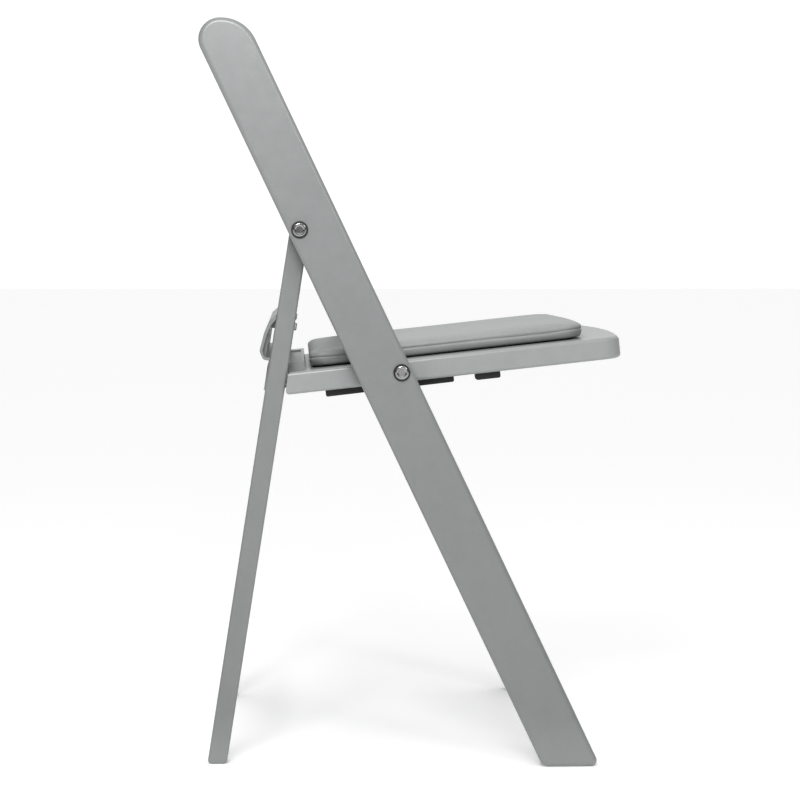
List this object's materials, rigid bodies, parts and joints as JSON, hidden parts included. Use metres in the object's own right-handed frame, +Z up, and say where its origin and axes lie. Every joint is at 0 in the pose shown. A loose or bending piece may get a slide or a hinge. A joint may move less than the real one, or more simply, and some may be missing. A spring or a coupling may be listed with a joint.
{
  "type": "folding chair",
  "caption": "Folding chair with slanted moulded side rails, pivoted rear legs, bowed back slats and a padded vinyl seat that folds up between the rails.",
  "frame": {"origin": "on the floor under the middle of the open chair", "axes": "+X to the chair's front, +Y to the chair's left, +Z up"},
  "size_m": [0.4489, 0.4534, 0.776],
  "materials": {
    "grey_resin": "satin",
    "grey_vinyl": "satin",
    "bright_steel": "polished",
    "screw_steel": "satin",
    "black_nylon": "matte",
    "black_rubber": "matte",
    "plywood": "matte"
  },
  "bodies": {
    "frame": {"left_side_rail": "grey_resin", "right_side_rail": "grey_resin", "upper_back_slat": "grey_resin", "lower_back_slat": "grey_resin", "back_slat_screws": "screw_steel", "front_stretcher": "grey_resin", "front_stretcher_screws": "screw_steel", "leg_pivot_bolts": "bright_steel", "leg_pivot_sleeve_nuts": "bright_steel", "seat_pivot_bolts": "bright_steel", "seat_pivot_sleeve_nuts": "bright_steel", "bolt_rings": "black_nylon", "pivot_spacers": "black_nylon"},
    "rear_legs": {"left_rear_leg": "grey_resin", "right_rear_leg": "grey_resin", "rear_leg_slat": "grey_resin", "leg_slat_screws": "screw_steel", "rear_stretcher": "grey_resin", "rear_stretcher_screws": "screw_steel"},
    "seat": {"seat_frame": "grey_resin", "seat_board": "plywood", "seat_cushion": "grey_vinyl", "cushion_screws": "screw_steel", "left_slide_bracket": "bright_steel", "right_slide_bracket": "bright_steel", "slide_pins": "bright_steel", "bracket_screws": "screw_steel", "seat_bumper_strips": "black_rubber", "seat_bumper_blocks": "black_rubber"}
  },
  "joints": [
    {"name": "seat_fold", "type": "hinge", "parent": "frame", "child": "seat", "pos_m": [-0.017, 0, 0.4132], "axis": [0, -1, 0], "range_deg": [0, 109.17]},
    {"name": "rear_leg_fold", "type": "hinge", "parent": "frame", "child": "rear_legs", "pos_m": [-0.1218, 0, 0.56], "axis": [0, -1, 0], "range_deg": [0, 34.33]}
  ],
  "couplings": [
    {"joint": "rear_leg_fold", "follows": "seat_fold", "ratio": 0.31446}
  ]
}
